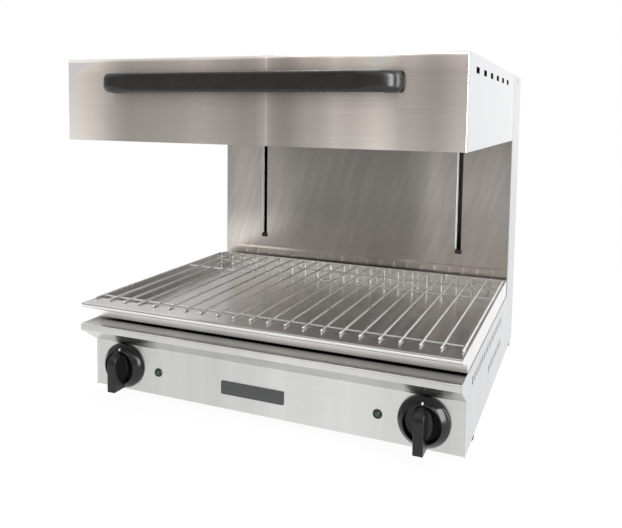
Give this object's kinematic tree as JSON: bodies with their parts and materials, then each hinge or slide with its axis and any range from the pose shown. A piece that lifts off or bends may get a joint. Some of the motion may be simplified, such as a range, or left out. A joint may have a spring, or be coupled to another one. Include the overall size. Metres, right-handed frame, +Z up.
{
  "type": "cheese melter",
  "caption": "Countertop rise-and-fall cheese melter: a counterweighted heated hood slides down a rear column over a pull-out drip tray with a wire rack, on a case with turn knobs.",
  "frame": {"origin": "middle of the object's footprint box, on the surface that the feet stand on", "axes": "+Z up, -Y towards the front with the knobs and handle, +X to the right seen from the front"},
  "size_m": [0.6, 0.6464, 0.534],
  "materials": {
    "stainless": "satin brushed, fine horizontal grain",
    "plain_steel": "plain mill finish",
    "rubber_black": "matt",
    "screw_steel": "bright zinc",
    "chromed_wire": "bright chromed wire",
    "bright_reflector": "bright, slightly heat-tinted",
    "blanket": "mineral fibre",
    "element_sheath": "dark oxidised sheath",
    "handle_plastic": "glossy black moulding",
    "knob_plastic": "glossy black moulding",
    "black_steel": "satin black paint",
    "bush_bronze": "machined",
    "ground_rod": "ground and hard chromed",
    "pulley_alloy": "turned",
    "cast_weight": "as cast",
    "cable_steel": "stranded cable",
    "regulator_body": "moulded cream",
    "lamp_black": "satin black",
    "lens_green": "dark green lens, unlit",
    "plate_dark": "satin dark grey, bare"
  },
  "bodies": {
    "stand": {"side_panel_left": "stainless", "side_panel_right": "stainless", "front_panel": "stainless", "deck_plate": "stainless", "base_plate": "plain_steel", "feet": "rubber_black", "column_front": "stainless", "slot_buffers": "rubber_black", "back_cover": "stainless", "column_cap": "stainless", "case_screws": "screw_steel", "guide_rod_left": "ground_rod", "guide_rod_right": "ground_rod", "top_rail": "black_steel", "bottom_rail": "black_steel", "pulley_bracket_left": "black_steel", "pulley_bracket_right": "black_steel", "pulley_axle_left": "ground_rod", "pulley_axle_right": "ground_rod", "weight_channel_left": "plain_steel", "weight_channel_right": "plain_steel", "lift_cables": "cable_steel", "cable_bends": "cable_steel", "weight_cable_left": "cable_steel", "weight_cable_right": "cable_steel", "regulator_left": "regulator_body", "regulator_right": "regulator_body", "lamp_bezel_left": "lamp_black", "lamp_bezel_right": "lamp_black", "lamp_lens_left": "lens_green", "lamp_lens_right": "lens_green", "name_plate": "plate_dark", "terminal_block": "regulator_body", "cable_gland": "lamp_black"},
    "hood": {"hood_shell": "stainless", "hood_back": "stainless", "heat_reflector": "bright_reflector", "insulation_blanket": "blanket", "element_left": "element_sheath", "element_right": "element_sheath", "element_combs": "bright_reflector", "handle": "handle_plastic", "hood_bolts": "screw_steel", "lift_arm_left": "black_steel", "lift_arm_right": "black_steel", "lift_carriage": "black_steel", "guide_bush_left": "bush_bronze", "guide_bush_right": "bush_bronze"},
    "tray": {"drip_tray": "stainless"},
    "rack": {"wire_rack": "chromed_wire"},
    "knob_left": {"knob_left": "knob_plastic", "spindle_left": "bush_bronze"},
    "knob_right": {"knob_right": "knob_plastic", "spindle_right": "bush_bronze"},
    "pulley_left": {"pulley_left": "pulley_alloy"},
    "pulley_right": {"pulley_right": "pulley_alloy"},
    "counterweight_left": {"counterweight_left": "cast_weight"},
    "counterweight_right": {"counterweight_right": "cast_weight"}
  },
  "joints": [
    {"name": "hood_lift", "type": "slide", "parent": "stand", "child": "hood", "axis": [0, 0, -1], "range_m": [0, 0.22], "deforming": ["lift_cables"]},
    {"name": "counterweight_left_rise", "type": "slide", "parent": "stand", "child": "counterweight_left", "axis": [0, 0, 1], "range_m": [0, 0.2205], "deforming": ["weight_cable_left"]},
    {"name": "counterweight_right_rise", "type": "slide", "parent": "stand", "child": "counterweight_right", "axis": [0, 0, 1], "range_m": [0, 0.2205], "deforming": ["weight_cable_right"]},
    {"name": "pulley_left_turn", "type": "hinge", "parent": "stand", "child": "pulley_left", "pos_m": [-0.11, 0.2574, 0.48865], "axis": [1, 0, 0], "range_deg": [0, 410]},
    {"name": "pulley_right_turn", "type": "hinge", "parent": "stand", "child": "pulley_right", "pos_m": [0.11, 0.2574, 0.48865], "axis": [1, 0, 0], "range_deg": [0, 410]},
    {"name": "knob_left_turn", "type": "hinge", "parent": "stand", "child": "knob_left", "pos_m": [-0.245, -0.23175, 0.05], "axis": [0, 1, 0], "range_deg": [0, 270]},
    {"name": "knob_right_turn", "type": "hinge", "parent": "stand", "child": "knob_right", "pos_m": [0.245, -0.23175, 0.05], "axis": [0, 1, 0], "range_deg": [0, 270]},
    {"name": "tray_slide", "type": "slide", "parent": "stand", "child": "tray", "axis": [0, -1, 0], "range_m": [0, 0.3]},
    {"name": "rack_lift", "type": "slide", "parent": "tray", "child": "rack", "axis": [0, 0, 1], "range_m": [0, 0.034]}
  ],
  "couplings": [
    {"joint": "counterweight_left_rise", "follows": "hood_lift", "ratio": 1},
    {"joint": "pulley_left_turn", "follows": "hood_lift", "rad_per_m": 32.103},
    {"joint": "counterweight_right_rise", "follows": "hood_lift", "ratio": 1},
    {"joint": "pulley_right_turn", "follows": "hood_lift", "rad_per_m": 32.103}
  ]
}
